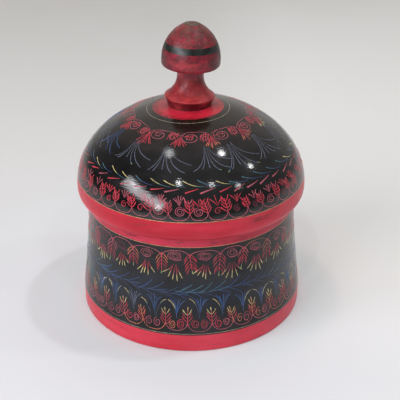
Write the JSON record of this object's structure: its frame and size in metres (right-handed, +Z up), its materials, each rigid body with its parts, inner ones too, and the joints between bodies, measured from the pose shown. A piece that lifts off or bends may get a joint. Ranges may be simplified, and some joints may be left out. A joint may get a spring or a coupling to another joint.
{
  "type": "spice box",
  "caption": "Round turned wooden spice box with a flared body, a domed lift-off lid and an acorn finial, finished in black and red lac with scratched scroll borders.",
  "frame": {"origin": "centre of the foot ring, on the surface that the box stands on", "axes": "+Z up along the turning axis of the body, -Y towards the viewer of the picture, +X to the right"},
  "size_m": [0.1412, 0.1412, 0.1812],
  "materials": {
    "body_lac": "glossy black and red lac on turned wood, scratched borders",
    "lid_lac": "glossy black and red lac on turned wood, scratched borders",
    "knob_lac": "worn red lac with one black band"
  },
  "bodies": {
    "box": {"box_body": "body_lac"},
    "lid": {"lid_shell": "lid_lac", "lid_knob": "knob_lac"}
  },
  "joints": [
    {"name": "lid_lift", "type": "slide", "parent": "box", "child": "lid", "axis": [0, 0, 1], "range_m": [0, 0.12]}
  ]
}
